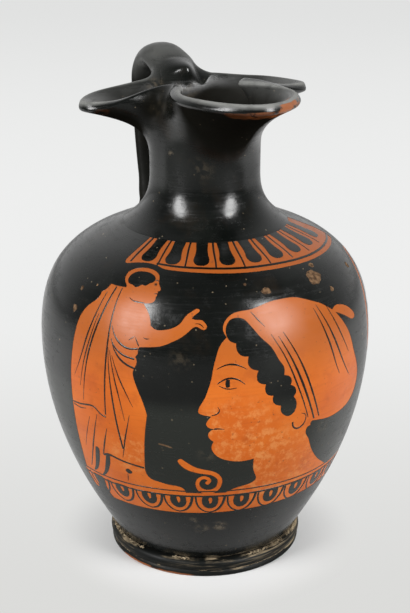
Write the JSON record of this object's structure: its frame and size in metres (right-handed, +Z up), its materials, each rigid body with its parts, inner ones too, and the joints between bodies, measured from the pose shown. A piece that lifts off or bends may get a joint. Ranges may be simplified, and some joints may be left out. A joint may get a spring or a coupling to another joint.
{
  "type": "trefoil-mouthed jug",
  "caption": "Fired clay jug with a round body on a ring foot, a waisted neck, a three-lobed pouring mouth and a tall strap handle, coated in dark gloss with reserved orange figures.",
  "frame": {"origin": "on the jug's axis at the plane it stands on, under the foot", "axes": "+Z up along the axis, the spout towards -Y, the handle towards +Y, +X to the right of someone who looks along +Y"},
  "size_m": [0.1402, 0.1402, 0.2143],
  "materials": {
    "gloss": "dark iron gloss, satin",
    "slip": "matt fired clay"
  },
  "bodies": {
    "root": {"foot": "gloss", "foot_luting": "slip", "body": "gloss", "neck_luting": "slip", "neck": "gloss", "handle": "gloss", "handle_rim_luting": "slip", "handle_shoulder_luting": "slip"}
  },
  "joints": []
}
